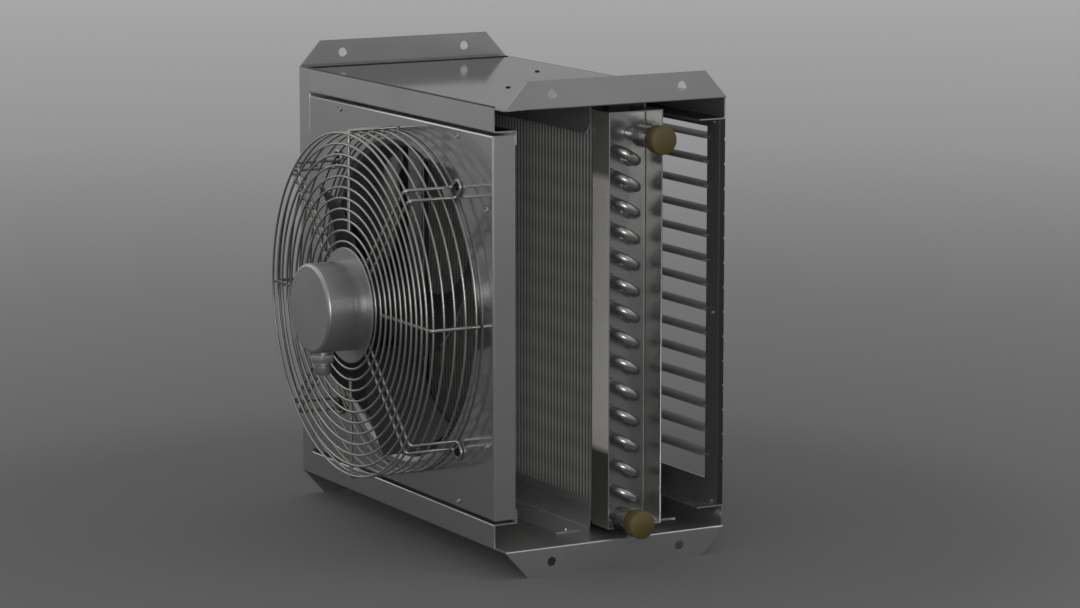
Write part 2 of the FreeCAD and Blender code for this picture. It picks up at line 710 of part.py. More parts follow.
def makeReturnBends(name, side, count):
    """Half-turn bends joining the two rows, tilted down at one end and up at the other."""
    body = newBody(name)
    start = "{} * (Sizes.sheet_reach + Sizes.sheet + Sizes.tube_stub)".format(side)
    frontRow = "(Sizes.coil_front + Sizes.row_inset)"
    lowest = "Sizes.foot_height + Sizes.front_row_bottom"
    if side == 1:
        lowest += " + Sizes.tube_pitch"
    half = "(0.5 * sqrt(Sizes.row_gap ^ 2 + (Sizes.tube_pitch / 2) ^ 2))"
    corners = [("0", "0")]
    for angle in (0, 45, 90, 135, 180):
        sine = math.sin(math.radians(angle))
        rest = 1 - math.cos(math.radians(angle))
        corners.append(("{} * (Sizes.bend_leg + {} * {:.6f})".format(side, half, sine),
                        "{} * {:.6f}".format(half, rest)))
    corners.append(("0", "2 * " + half))
    route = newSketch(body, "XY_Plane", "Route", lowest)
    tilt = FreeCAD.Rotation(V(1, 0, 0), -30 * side)
    route.AttachmentOffset = FreeCAD.Placement(V(0, 0, 0), tilt)
    angle = "atan2(-{} * Sizes.tube_pitch / 2; Sizes.row_gap)".format(side)
    route.setExpression("AttachmentOffset.Rotation.Angle", angle)
    route.setExpression("AttachmentOffset.Base.x", start)
    route.setExpression("AttachmentOffset.Base.y", frontRow)
    addRoute(route, corners)
    section = newSketch(body, "YZ_Plane", "Section", start)
    section.setExpression("AttachmentOffset.Base.x", frontRow)
    section.setExpression("AttachmentOffset.Base.y", lowest)
    addPolygon(section, "0", "0", "Sizes.tube_radius", 8)
    bend = sweep(body, section, route, "Bend")
    repeatLine(body, [bend], "Z_Axis", "Sizes.tube_pitch", count, "Bends")


def makeConnections():
    """Stub, union and capped brass end of the two pipe connections."""
    frontRow = "(Sizes.coil_front + Sizes.row_inset)"
    low = "(Sizes.foot_height + Sizes.front_row_bottom)"
    high = low + " + Sizes.tube_pitch * {}".format(tubeCount - 0.5)
    places = ((frontRow, low), (frontRow + " + Sizes.row_gap", high))
    brass = "(Sizes.pipe_reach - Sizes.brass_length)"
    stub = "(Sizes.sheet_reach + Sizes.sheet + Sizes.tube_stub)"
    for name, start, length, radius in (
            ("connection_stubs", stub, "{} - {}".format(unionStart, stub), "Sizes.stub_radius"),
            ("connection_unions", unionStart, "Sizes.union_length", "Sizes.union_radius"),
            ("connection_ends", brass, "Sizes.brass_length", "Sizes.brass_radius")):
        body = newBody(name)
        outline = newSketch(body, "YZ_Plane", "Outline", start)
        for along, up in places:
            addCircle(outline, along, up, radius)
        pad(body, outline, length, 1, "Pair")


def makeBaffles():
    """Four blanking baffles between the coil and the casing's floor and roof."""
    gap = "Sizes.baffle_sheet"
    for name, top, rear in (("front_upper_baffle", True, False), ("front_lower_baffle", False, False),
                            ("rear_upper_baffle", True, True), ("rear_lower_baffle", False, True)):
        body = newBody(name)
        level = casingTop + " - Sizes.sheet" if top else "Sizes.foot_height + Sizes.sheet"
        down = "-" if top else "+"
        coil = "Sizes.coil_front + Sizes.coil_depth" if rear else "Sizes.coil_front"
        away = "+" if rear else "-"
        drop = "Sizes.baffle_drop"
        outline = newSketch(body, "YZ_Plane", "BaffleOutline")
        points = [
            ("Sizes.baffle_foot", "0"),
            ("0", "0"),
            ("0", drop),
            ("Sizes.baffle_lip_lean", drop + " + Sizes.baffle_lip_drop"),
            ("Sizes.baffle_lip_lean + " + gap, drop + " + Sizes.baffle_lip_drop"),
            (gap, drop),
            (gap, gap),
            ("Sizes.baffle_foot", gap),
        ]
        addOutline(outline, [("{} {} ({})".format(coil, away, along),
                              "{} {} ({})".format(level, down, up)) for along, up in points])
        pad(body, outline, "Sizes.baffle_width", 0, "Baffle")


def makeLouvreFrame():
    """The discharge frame: bands, outward rims, drilled cheeks and inward folds."""
    body = newBody("louvre_frame")
    face = "(Sizes.casing_depth - Sizes.frame_setback)"
    skin = "Sizes.frame_sheet"
    wide = "Sizes.frame_half_width"
    inner = "(Sizes.frame_half_width - Sizes.frame_band)"
    low = "(Sizes.foot_height + Sizes.rear_lip)"
    high = "({} - Sizes.rear_lip)".format(casingTop)
    opening = "(Sizes.foot_height + Sizes.opening_bottom)"
    roof = "(Sizes.foot_height + Sizes.opening_top)"
    bands = newSketch(body, "XZ_Plane", "BandOutline", face)
    addBox(bands, "-" + wide, wide, low, high)
    addBox(bands, "-({} - {})".format(inner, skin), "{} - {}".format(inner, skin), opening, roof)
    pad(body, bands, skin, -1, "Bands")
    cheek = newSketch(body, "YZ_Plane", "CheekOutline", "{} - {}".format(inner, skin))
    addBox(cheek, face, louvreBack, opening, roof)
    wall = pad(body, cheek, skin, 1, "Cheek")
    rim = newSketch(body, "YZ_Plane", "RimOutline", "{} - {}".format(wide, skin))
    addBox(rim, face, "Sizes.casing_depth", low, high)
    edge = pad(body, rim, skin, 1, "Rim")
    mirrorAcross(body, [wall, edge], "YZ_Plane", "OtherSide")
    folds = newSketch(body, "YZ_Plane", "FoldOutline")
    start = "{} - Sizes.frame_fold".format(face)
    addBox(folds, start, "{} - {}".format(face, skin), "{} - {}".format(high, skin), high)
    addBox(folds, start, "{} - {}".format(face, skin), low, "{} + {}".format(low, skin))
    pad(body, folds, "2 * ({} - Sizes.sheet)".format(wide), 0, "Folds")
    hole = newSketch(body, "YZ_Plane", "PinHoleOutline")
    lowest = "Sizes.foot_height + Sizes.blade_top - Sizes.blade_pitch * {}".format(louvreCount - 1)
    addPolygon(hole, louvrePivot, lowest, "(Sizes.pin_radius + Sizes.running_gap)", 8)
    cut = cutThrough(body, hole, "PinHole")
    repeatLine(body, [cut], "Z_Axis", "Sizes.blade_pitch", louvreCount, "PinHoles")


def makeLouvreBlade(number):
    """One discharge blade with a pin at each end, lying level at rest."""
    height = "Sizes.foot_height + Sizes.blade_top - Sizes.blade_pitch * {}".format(number)
    body = newBody("louvre_blade_{:02d}".format(number + 1), height)
    outline = newSketch(body, "YZ_Plane", "BladeOutline")
    chord = "Sizes.blade_chord / 2"
    thick = "Sizes.blade_depth / 2"
    corners = []
    for along, across in bladeShape:
        corners.append(("{} + {} * {}".format(louvrePivot, chord, along),
                        "{} * {}".format(thick, across)))
    addOutline(outline, corners)
    inner = "(Sizes.frame_half_width - Sizes.frame_band - Sizes.frame_sheet)"
    pad(body, outline, "2 * ({} - Sizes.blade_end_gap)".format(inner), 0, "Blade")
    pins = newSketch(body, "YZ_Plane", "PinOutline")
    addCircle(pins, louvrePivot, "0", "Sizes.pin_radius")
    body.Tip = pad(body, pins, "2 * ({} + Sizes.frame_sheet)".format(inner), 0, "Pins")


# Outline of a louvre blade as shares of half its chord and half its thickness
bladeShape = [(1, 0), (0.6, 0.8), (0, 1), (-0.6, 0.8), (-1, 0), (-0.6, -0.8), (0, -1), (0.6, -0.8)]


makePanel("top_panel", casingTop, None)
makePanel("bottom_panel", "Sizes.foot_height", FreeCAD.Rotation(V(0, 1, 0), 180))
makeSidePanel()
makeFanPlate()
makeInletNozzle()
makeGuardRings()
makeGuardSpokes()
makeGuardSupports()
makeMotor()
makeRotor()
makeCoil()
makeConnections()
makeBaffles()
makeLouvreFrame()
for number in range(louvreCount):
    makeLouvreBlade(number)
doc.recompute()

os.makedirs("parts", exist_ok=True)
for item in doc.Objects:
    if "Invalid" in item.State or "Error" in item.State:
        raise RuntimeError("{} of {} failed".format(item.Name, item.getParentGeoFeatureGroup()))
for body in bodies:
    if body.Shape.isNull() or not body.Shape.isValid():
        raise RuntimeError("{} has no valid shape".format(body.Label))
    box = body.Shape.BoundBox
    solids = len(body.Shape.Solids)
    print(body.Label, solids, [round(v, 1) for v in (box.XMin, box.XMax, box.YMin, box.YMax,
                                                     box.ZMin, box.ZMax)])
    body.Shape.exportStep("parts/{}.step".format(body.Label))
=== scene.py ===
import math

import bmesh
import bpy
from mathutils import Matrix, Vector


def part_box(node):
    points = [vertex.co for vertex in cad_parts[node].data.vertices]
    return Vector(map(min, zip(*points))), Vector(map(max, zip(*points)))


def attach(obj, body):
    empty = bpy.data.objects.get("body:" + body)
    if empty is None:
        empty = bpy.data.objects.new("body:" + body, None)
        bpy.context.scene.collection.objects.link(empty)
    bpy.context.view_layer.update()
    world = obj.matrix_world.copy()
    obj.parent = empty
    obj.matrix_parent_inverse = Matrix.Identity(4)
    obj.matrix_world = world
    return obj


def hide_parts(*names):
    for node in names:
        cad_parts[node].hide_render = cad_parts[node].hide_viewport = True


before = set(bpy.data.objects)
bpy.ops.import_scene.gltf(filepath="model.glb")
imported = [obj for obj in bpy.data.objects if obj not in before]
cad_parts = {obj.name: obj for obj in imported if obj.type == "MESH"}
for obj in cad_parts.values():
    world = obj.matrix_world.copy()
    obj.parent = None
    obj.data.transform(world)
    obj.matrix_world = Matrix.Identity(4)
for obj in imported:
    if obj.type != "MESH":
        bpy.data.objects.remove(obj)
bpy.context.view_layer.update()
print("frame loaded")

# Sizes in the pieces' dictionaries are millimetres and degrees

mm = 0.001
flangeLow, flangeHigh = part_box("motor_flange")
fanX = (flangeLow[0] + flangeHigh[0]) / 2
fanZ = (flangeLow[2] + flangeHigh[2]) / 2
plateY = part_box("fan_plate")[0][1]  # front face of the fan plate
railsLow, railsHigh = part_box("coil_rails")
roofZ = railsHigh[2]  # inner face of the top panel
floorZ = railsLow[2]  # inner face of the bottom panel
axisRadius = 0.01  # a closed turned profile starts this close to its axis
turnedWeld = 0.001  # turned points nearer than this join, in millimetres


def fanPoint(radius, angle, along, aside=0.0):
    # a point by radius and angle round the fan axis, in millimetres from the plate's front
    turn = math.radians(angle)
    across = Vector((math.cos(turn), 0, math.sin(turn)))
    side = Vector((-math.sin(turn), 0, math.cos(turn)))
    return Vector((fanX, plateY + along * mm, fanZ)) + across * radius * mm + side * aside * mm


# Materials

noiseLow, noiseHigh = 0.3, 0.7  # most of a noise lies between these


def newMaterial(name):
    material = bpy.data.materials.new(name)
    material.use_nodes = True
    return material, material.node_tree.nodes, material.node_tree.links


def addNoise(nodes, links, scale, detail, stretch=(1, 1, 1)):
    place = nodes.new("ShaderNodeTexCoord")
    mapping = nodes.new("ShaderNodeMapping")
    mapping.inputs["Scale"].default_value = stretch
    links.new(place.outputs["Object"], mapping.inputs["Vector"])
    noise = nodes.new("ShaderNodeTexNoise")
    noise.inputs["Scale"].default_value = scale
    noise.inputs["Detail"].default_value = detail
    links.new(mapping.outputs["Vector"], noise.inputs["Vector"])
    return noise.outputs["Fac"]


def addRange(nodes, links, value, start, stop, bottom, top):
    # a value between start and stop becomes one between bottom and top
    ranged = nodes.new("ShaderNodeMapRange")
    ranged.inputs["From Min"].default_value = start
    ranged.inputs["From Max"].default_value = stop
    ranged.inputs["To Min"].default_value = bottom
    ranged.inputs["To Max"].default_value = top
    links.new(value, ranged.inputs["Value"])
    return ranged.outputs["Result"]


def addMath(nodes, links, operation, value, *settings):
    step = nodes.new("ShaderNodeMath")
    step.operation = operation
    links.new(value, step.inputs[0])
    for number, setting in enumerate(settings, start=1):
        step.inputs[number].default_value = setting
    return step.outputs["Value"]


def metalMaterial(name, look):
    # cloudy colour, uneven gloss and a fine grain
    material, nodes, links = newMaterial(name)
    shader = nodes["Principled BSDF"]
    shader.inputs["Metallic"].default_value = look["metallic"]
    shader.inputs["Specular Tint"].default_value = (look["rim"], look["rim"], look["rim"], 1)
    ramp = nodes.new("ShaderNodeValToRGB")
    ramp.color_ramp.elements[0].position = noiseLow
    ramp.color_ramp.elements[1].position = noiseHigh
    ramp.color_ramp.elements[0].color = (*look["dark"], 1)
    ramp.color_ramp.elements[1].color = (*look["light"], 1)
    links.new(addNoise(nodes, links, look["cloud"], look["cloudDetail"]), ramp.inputs["Fac"])
    links.new(ramp.outputs["Color"], shader.inputs["Base Color"])
    gloss = addNoise(nodes, links, look["patch"], look["patchDetail"])
    rough = addRange(nodes, links, gloss, noiseLow, noiseHigh, *look["rough"])
    links.new(rough, shader.inputs["Roughness"])
    grain = addNoise(nodes, links, look["grainScale"], look["grainDetail"], look["stretch"])
    bump = nodes.new("ShaderNodeBump")
    bump.inputs["Strength"].default_value = look["grain"]
    bump.inputs["Distance"].default_value = look["grainDepth"]
    links.new(grain, bump.inputs["Height"])
    links.new(bump.outputs["Normal"], shader.inputs["Normal"])
    return material


sheetLook = {
    "metallic": 0.85, "dark": (0.43, 0.43, 0.425), "light": (0.49, 0.49, 0.485), "rim": 1.0,
    "cloud": 5.0, "cloudDetail": 4.0, "patch": 14.0, "patchDetail": 6.0, "rough": (0.2, 0.27),
    "grain": 0.05, "grainScale": 420.0, "grainDetail": 2.0, "grainDepth": 0.0001, "stretch": (1, 1, 1),
}
topLook = dict(sheetLook, metallic=1.0, dark=(0.35, 0.35, 0.345), light=(0.4, 0.4, 0.395), rough=(0.07, 0.11),
               grain=0.03, rim=0.6)
plateLook = dict(sheetLook, rough=(0.11, 0.15), dark=(0.43, 0.43, 0.43), light=(0.48, 0.48, 0.48), grain=0.03)
nozzleLook = dict(sheetLook, rough=(0.28, 0.36), dark=(0.34, 0.34, 0.34), light=(0.4, 0.4, 0.4))
# a darker copy of the sheet steel for the baffles inside the casing, painted shade
shadedInsideLook = dict(sheetLook, metallic=0.7, rough=(0.24, 0.32), dark=(0.36, 0.36, 0.355),
                  light=(0.42, 0.42, 0.415))
frameLook = dict(sheetLook, metallic=0.8, rough=(0.24, 0.32), dark=(0.28, 0.28, 0.278),
                 light=(0.35, 0.35, 0.345))
# a near-black copy of the frame steel for the frame's faces that look along +X, painted shade
shadedCheekLook = dict(sheetLook, dark=(0.05, 0.05, 0.05), light=(0.07, 0.07, 0.07), rough=(0.3, 0.4))
wireLook = dict(sheetLook, rough=(0.24, 0.34), dark=(0.30, 0.30, 0.29), light=(0.40, 0.40, 0.38), cloud=30.0)
motorLook = dict(sheetLook, rough=(0.3, 0.4), dark=(0.36, 0.36, 0.36), light=(0.42, 0.42, 0.42), grain=0.1)
tubeLook = dict(sheetLook, dark=(0.32, 0.32, 0.32), light=(0.42, 0.42, 0.41), rough=(0.2, 0.3), cloud=20.0)
finLook = dict(sheetLook, metallic=0.2, dark=(0.35, 0.345, 0.332), light=(0.42, 0.414, 0.40),
               rough=(0.35, 0.45))
coilSheetLook = dict(sheetLook, dark=(0.36, 0.36, 0.355), light=(0.42, 0.42, 0.415))
# a paler, warmer copy of the sheet steel for the near tube sheet's front flange, painted light
litFlangeLook = dict(sheetLook, metallic=0.3, dark=(0.74, 0.725, 0.68), light=(0.80, 0.785, 0.735),
                  rough=(0.25, 0.35))
louvreLook = dict(sheetLook, metallic=0.3, dark=(0.14, 0.14, 0.14), light=(0.18, 0.18, 0.18),
                  rough=(0.5, 0.6), rim=0.3)
bladeLook = dict(sheetLook, metallic=0.1, dark=(0.010, 0.010, 0.010), light=(0.018, 0.018, 0.018),
                 rough=(0.4, 0.5), grain=0.1)
brassLook = dict(sheetLook, metallic=0.1, dark=(0.09, 0.069, 0.018), light=(0.112, 0.088, 0.025),
                 rough=(0.5, 0.6), cloud=30.0)
blackLook = dict(bladeLook, metallic=0.6, rough=(0.25, 0.35))


def multiplyColour(material, factor):
    nodes, links = material.node_tree.nodes, material.node_tree.links
    shader = nodes["Principled BSDF"]
    colour = shader.inputs["Base Color"].links[0].from_socket
    shade = nodes.new("ShaderNodeMix")
    shade.data_type = "RGBA"
    shade.blend_type = "MULTIPLY"
    shade.inputs["Factor"].default_value = 1.0
    links.new(colour, shade.inputs["A"])
    links.new(factor, shade.inputs["B"])
    links.new(shade.outputs["Result"], shader.inputs["Base Color"])


def placePart(material, letter):
    nodes, links = material.node_tree.nodes, material.node_tree.links
    place = nodes.new("ShaderNodeTexCoord")
    parts = nodes.new("ShaderNodeSeparateXYZ")
    links.new(place.outputs["Object"], parts.inputs["Vector"])
    return parts.outputs[letter]


def addFade(material, letter, start, stop, before, after):
    # the colour is scaled from one value to the other between two places along one axis
    nodes, links = material.node_tree.nodes, material.node_tree.links
    fade = addRange(nodes, links, placePart(material, letter), start, stop, before, after)
    multiplyColour(material, fade)


def addPaintedFinShade(material, middle, half):
    # painted shade: the fins are palest at their two outer edges and darker deeper in, where shade falls
    # between them
    nodes, links = material.node_tree.nodes, material.node_tree.links
    offset = addMath(nodes, links, "SUBTRACT", placePart(material, "Y"), middle)
    away = addMath(nodes, links, "ABSOLUTE", offset)
    start = half - finPaintedShading["deep"] * mm
    stop = half - finPaintedShading["edge"] * mm
    multiplyColour(material, addRange(nodes, links, away, start, stop, finPaintedShading["inner"], 1.0))


def addPaintedLightBands(material, start):
    # painted light: soft level bands of paler colour, one for each tube behind the fins, stand in for light
    # off the tubes
    nodes, links = material.node_tree.nodes, material.node_tree.links
    turns = 2 * math.pi / (finPaintedShading["bandPitch"] * mm)
    depth = finPaintedShading["bandDepth"]
    shift = math.pi / 2 - turns * start
    phase = addMath(nodes, links, "MULTIPLY_ADD", placePart(material, "Z"), turns, shift)
    wave = addMath(nodes, links, "SINE", phase)
    multiplyColour(material, addMath(nodes, links, "MULTIPLY_ADD", wave, depth, 1 - depth))


# painted shade and painted light on the fins: how far the painted shade reaches in from their edges, and the
# painted light bands at the tubes
finPaintedShading = {"deep": 3.8, "edge": 0.5, "inner": 0.22, "bandPitch": 30.0, "bandStart": 6.0, "bandDepth": 0.06}
# painted light: a pale band on the flange between two heights, with darker colour below and above it
flangeLightBand = ((0.126, 0.134, 0.12, 1.0), (0.437, 0.447, 1.0, 0.25))  # two heights in metres, then tones

galvanised = metalMaterial("galvanisedSheet", sheetLook)
topSheet = metalMaterial("topSheet", topLook)
coilSheet = metalMaterial("coilSheet", coilSheetLook)
litFlangeSheet = metalMaterial("litFlangeSheet", litFlangeLook)
for fade in flangeLightBand:
    addFade(litFlangeSheet, "Z", *fade)
frameSheet = metalMaterial("frameSheet", frameLook)
nozzleSteel = metalMaterial("nozzleSteel", nozzleLook)
shadedCheekSheet = metalMaterial("shadedCheekSheet", shadedCheekLook)
shadedInnerSheet = metalMaterial("shadedInnerSheet", shadedInsideLook)
plateSteel = metalMaterial("fanPlateSteel", plateLook)
wireSteel = metalMaterial("guardWire", wireLook)
motorSteel = metalMaterial("motorShell", motorLook)
tubeSteel = metalMaterial("coilTube", tubeLook)
finMetal = metalMaterial("coilFin", finLook)
finsLow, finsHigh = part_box("coil_fins")
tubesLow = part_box("coil_tubes")[0]
addPaintedFinShade(finMetal, (finsLow[1] + finsHigh[1]) / 2, (finsHigh[1] - finsLow[1]) / 2)
addPaintedLightBands(finMetal, tubesLow[2] + finPaintedShading["bandStart"] * mm)
louvreSteel = metalMaterial("louvreSteel", louvreLook)
bladeBlack = metalMaterial("fanBlade", bladeLook)
brass = metalMaterial("brassEnd", brassLook)
blackSteel = metalMaterial("blackScrew", blackLook)
print("materials made")


# Making pieces

cadMesh = {"weld": 0.002, "flat": 0.5}  # how near points join, and how flat joined faces are
sheet = {
    "fold": 1.6, "foldAngle": 60, "foldLength": 100.0, "foldReach": 3.2, "foldSteps": 4,
    "edge": 0.25, "edgeAngle": 40, "edgeSteps": 1, "flatWidth": 2.0,
    "plateFold": 1.4, "plateEdge": 0.14, "nozzleEdge": 0.3, "frameFold": 1.0, "baffleFold": 1.1,
    "facing": 0.9, "cheekFacing": 0.5, "flangeDepth": 0.5,
}


def finishPiece(name, bm, body, material, replaced=(), smoothAngle=35):
    bmesh.ops.recalc_face_normals(bm, faces=bm.faces)
    limit = math.radians(smoothAngle)
    for face in bm.faces:
        face.smooth = True
    for edge in bm.edges:
        edge.smooth = len(edge.link_faces) == 2 and edge.calc_face_angle(0) < limit
    mesh = bpy.data.meshes.new(name)
    bm.to_mesh(mesh)
    bm.free()
    piece = bpy.data.objects.new(name, mesh)
    bpy.context.scene.collection.objects.link(piece)
    piece.data.materials.append(material)
    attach(piece, body)
    if replaced:
        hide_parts(*replaced)
    return piece


def cadCopy(node, merge=True):
    # the CAD node's own shape, with its triangles joined into flat faces if merge is set
    bm = bmesh.new()
    bm.from_mesh(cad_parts[node].data)
    bmesh.ops.remove_doubles(bm, verts=bm.verts, dist=cadMesh["weld"] * mm)
    if merge:
        flat = math.radians(cadMesh["flat"])
        bmesh.ops.dissolve_limit(bm, angle_limit=flat, verts=bm.verts, edges=bm.edges)
    return bm


def bevelEdges(bm, edges, width, segments):
    bmesh.ops.bevel(bm, geom=edges, offset=width, offset_type="OFFSET", affect="EDGES", segments=segments,
                    profile=0.5, material=-1, clamp_overlap=True)


def softenEdges(bm, width, sharp, segments):
    limit = math.radians(sharp)
    edges = [edge for edge in bm.edges if len(edge.link_faces) == 2 and edge.calc_face_angle(0) > limit]
    bevelEdges(bm, edges, width, segments)


def softenFolds(bm, width):
    # folds are the long corners between two wide faces, and they get the larger radius
    limit = math.radians(sheet["foldAngle"])
    reach = sheet["foldReach"] * mm
    folds = []
    for edge in bm.edges:
        if len(edge.link_faces) != 2 or edge.calc_face_angle(0) < limit:
            continue
        wide = [face.calc_area() / max(edge.calc_length(), mm) > reach for face in edge.link_faces]
        if all(wide) and edge.calc_length() > sheet["foldLength"] * mm:
            folds.append(edge)
    bevelEdges(bm, folds, width, sheet["foldSteps"])


def flattenFaces(piece, width):
    # wide sheet faces are shaded flat, so only the rounded folds between them blend
    points = piece.data.vertices
    for face in piece.data.polygons:
        corners = [points[index].co for index in face.vertices]
        longest = max((one - two).length for one, two in zip(corners, corners[1:] + corners[:1]))
        face.use_smooth = face.area < longest * width


def softNode(node, piece, material, fold=sheet["fold"], soft=sheet["edge"], merge=True, flat=True):
    # a casing node with softened folds and edges, in millimetres
    bm = cadCopy(node, merge)
    if fold:
        softenFolds(bm, fold * mm)
    softenEdges(bm, soft * mm, sheet["edgeAngle"], sheet["edgeSteps"])
    made = finishPiece(piece, bm, "casing", material, (node,))
    if flat:
        flattenFaces(made, sheet["flatWidth"] * mm)
    return made


def paintFaces(piece, material, chosen):
    # the chosen faces get the piece's second material
    piece.data.materials.append(material)
    for face in piece.data.polygons:
        face.material_index = 1 if chosen(face) else 0


def addTurned(bm, profile, centre, axis="Y", steps=64):
    # a turned shape from radius and distance pairs, in millimetres
    start = len(bm.verts)
    verts = []
    for radius, along in profile:
        if axis == "Y":
            point = Vector((radius, along, 0))
        elif axis == "X":
            point = Vector((along, radius, 0))
        else:
            point = Vector((radius, 0, along))
        verts.append(bm.verts.new(point * mm + Vector(centre)))
    edges = [bm.edges.new(pair) for pair in zip(verts, verts[1:])]
    direction = {"X": Vector((1, 0, 0)), "Y": Vector((0, 1, 0)), "Z": Vector((0, 0, 1))}[axis]
    bmesh.ops.spin(bm, geom=verts + edges, cent=Vector(centre), axis=direction, dvec=Vector((0, 0, 0)),
                   angle=2 * math.pi, steps=steps, use_merge=True)
    bm.verts.ensure_lookup_table()
    made = [bm.verts[index] for index in range(start, len(bm.verts))]
    bmesh.ops.remove_doubles(bm, verts=made, dist=turnedWeld * mm)


def arcProfile(radius, along, size, start, end, steps):
    # points of a rounded corner in a turned profile
    points = []
    for step in range(steps + 1):
        angle = math.radians(start + (end - start) * step / steps)
        points.append((radius + size * math.cos(angle), along + size * math.sin(angle)))
    return points


def roundedRoute(points, bend, steps=8):
    # a route whose inner corners are bent to one radius
    route = [points[0]]
    for before, corner, after in zip(points, points[1:], points[2:]):
        back = (before - corner).normalized()
        ahead = (after - corner).normalized()
        turn = math.pi - back.angle(ahead)
        reach = bend * math.tan(turn / 2)
        start = corner + back * reach
        centre = corner + (back + ahead).normalized() * (bend / math.cos(turn / 2))
        axis = (start - centre).cross(-back)
        for step in range(steps + 1):
            route.append(centre + Matrix.Rotation(turn * step / steps, 3, axis) @ (start - centre))
    route.append(points[-1])
    return route


def addWire(bm, route, radius, rings=3):
    # a round wire or tube along a route, made from a curve that is removed again
    curve = bpy.data.curves.new("wireRoute", "CURVE")
    curve.dimensions = "3D"
    curve.bevel_depth = radius
    curve.bevel_resolution = rings
    curve.use_fill_caps = True
    spline = curve.splines.new("POLY")
    spline.points.add(len(route) - 1)
    for point, place in zip(spline.points, route):
        point.co = (*place, 1)
    holder = bpy.data.objects.new("wireRoute", curve)
    mesh = bpy.data.meshes.new_from_object(holder)
    bm.from_mesh(mesh)
    bpy.data.objects.remove(holder)
    bpy.data.curves.remove(curve)
    bpy.data.meshes.remove(mesh)


screwHead = {"corners": 16, "crown": 0.8, "rim": 0.4, "recess": 0.45}  # shares of radius and height


def addScrew(bm, place, facing, radius, height):
    # a low tapered head with a recess, standing on a surface
    out = Vector(facing)
    turn = Vector((0, 0, 1)).rotation_difference(out).to_matrix().to_4x4()
    spot = Matrix.Translation(Vector(place)) @ turn @ Matrix.Translation((0, 0, height * mm / 2))
    made = bmesh.ops.create_cone(bm, cap_ends=True, segments=screwHead["corners"], radius1=radius * mm,
                                 radius2=radius * screwHead["crown"] * mm, depth=height * mm, matrix=spot)
    faces = {face for vert in made["verts"] for face in vert.link_faces}
    top = max(faces, key=lambda face: face.calc_center_median().dot(out))
    bmesh.ops.inset_individual(bm, faces=[top], thickness=radius * screwHead["rim"] * mm, depth=0.0)
    bmesh.ops.translate(bm, verts=top.verts, vec=-out * height * screwHead["recess"] * mm)


# Casing


def makeCasing():
    topPanel = softNode("top_panel", "topPanel", galvanised)
    paintFaces(topPanel, topSheet, lambda face: face.normal.z > sheet["facing"])
    softNode("bottom_panel", "bottomPanel", galvanised)
    softNode("left_side_panel", "leftSidePanel", galvanised)
    softNode("fan_plate", "fanPlate", plateSteel, fold=sheet["plateFold"],
             soft=sheet["plateEdge"])
    softNode("inlet_nozzle", "inletNozzle", nozzleSteel, fold=0, soft=sheet["nozzleEdge"],
             flat=False)


def makeTubeSheets():
    # the near sheet's front flange is paler than its web, painted light, and its faces look to the front
    near = softNode("near_tube_sheet", "nearTubeSheet", coilSheet, merge=False)
    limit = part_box("near_tube_sheet")[0][1] + sheet["flangeDepth"] * mm
    paintFaces(near, litFlangeSheet, lambda face: face.normal.y < -sheet["facing"] and face.center.y < limit)
    softNode("far_tube_sheet", "farTubeSheet", coilSheet, merge=False)


def makeFrameAndBaffles():
    louvreFrame = softNode("louvre_frame", "louvreFrame", frameSheet,
                           fold=sheet["frameFold"])
    # painted shade: the frame's faces that look along +X get the near-black copy of its steel
    paintFaces(louvreFrame, shadedCheekSheet, lambda face: face.normal.x > sheet["cheekFacing"])
    for side in ("front", "rear"):
        for level in ("upper", "lower"):
            softNode("{}_{}_baffle".format(side, level), "{}{}Baffle".format(side, level.title()), shadedInnerSheet,
                     fold=sheet["baffleFold"], merge=False)
    softNode("coil_rails", "coilRails", bladeBlack, fold=0)


foldShadeAndSeam = {
    "inset": 13.5, "leftStart": 5.0, "rightStart": 30.0, "rearGap": 4.0, "sideWire": 0.9, "sideLift": 1.6,
    "leftGap": 20.0, "rightGap": 30.0, "frontBack": 2.2, "frontWire": 1.2, "frontLift": 2.2,
}


def makeFoldShadeAndSeam():
    # dark beads along both folds of the top panel, which are painted shade in the folds, and one along its
    # front edge for the dark seam there
    bm = bmesh.new()
    low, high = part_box("top_panel")
    inset = foldShadeAndSeam["inset"] * mm
    sideZ = roofZ + foldShadeAndSeam["sideLift"] * mm
    for x, start in ((low[0] + inset, foldShadeAndSeam["leftStart"]), (high[0] - inset, foldShadeAndSeam["rightStart"])):
        route = [Vector((x, plateY + start * mm, sideZ)), Vector((x, high[1] - foldShadeAndSeam["rearGap"] * mm, sideZ))]
        addWire(bm, route, foldShadeAndSeam["sideWire"] * mm, 2)
    frontY = low[1] + foldShadeAndSeam["frontBack"] * mm
    frontZ = roofZ + foldShadeAndSeam["frontLift"] * mm
    route = [Vector((low[0] + foldShadeAndSeam["leftGap"] * mm, frontY, frontZ)),
             Vector((high[0] - foldShadeAndSeam["rightGap"] * mm, frontY, frontZ))]
    addWire(bm, route, foldShadeAndSeam["frontWire"] * mm, 2)
    finishPiece("roofFoldShadeAndSeam", bm, "casing", blackSteel, (), 60)


makeCasing()
makeTubeSheets()
makeFrameAndBaffles()
makeFoldShadeAndSeam()
print("casing softened")

# Wire guard

